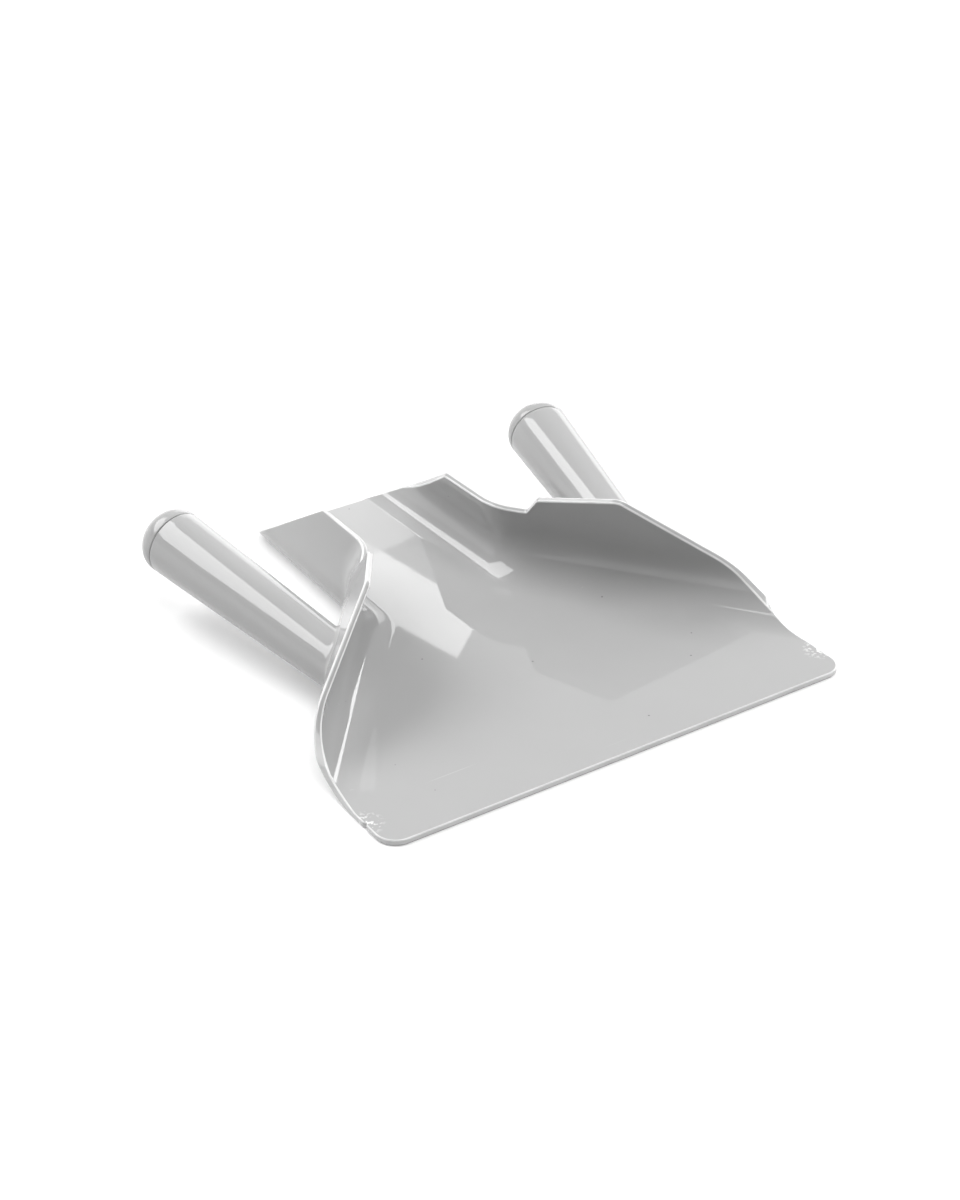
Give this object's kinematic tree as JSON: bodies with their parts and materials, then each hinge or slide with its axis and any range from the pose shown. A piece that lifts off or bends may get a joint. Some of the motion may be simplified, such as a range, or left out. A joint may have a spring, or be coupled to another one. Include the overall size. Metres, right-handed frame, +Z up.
{
  "type": "two-handled chip scoop",
  "caption": "Flat-floored plastic serving scoop with walls that lean in and close to a pouring chute at the back, carried by a hollow capped handle on each side wall.",
  "frame": {"origin": "on the resting surface, on the plane of symmetry, halfway along the floor of the pan", "axes": "+Z up, the mouth faces -Y and the outlet of the chute +Y, +X to the right of a person who holds both handles"},
  "size_m": [0.21, 0.227, 0.0506],
  "materials": {
    "pan_plastic": "light grey moulded plastic, polished and lightly scratched",
    "handle_plastic": "light grey moulded plastic, polished",
    "cap_plastic": "light grey moulded plastic, polished"
  },
  "bodies": {
    "root": {"scoop_pan": "pan_plastic", "left_handle": "handle_plastic", "right_handle": "handle_plastic", "left_end_cap": "cap_plastic", "right_end_cap": "cap_plastic"}
  },
  "joints": []
}
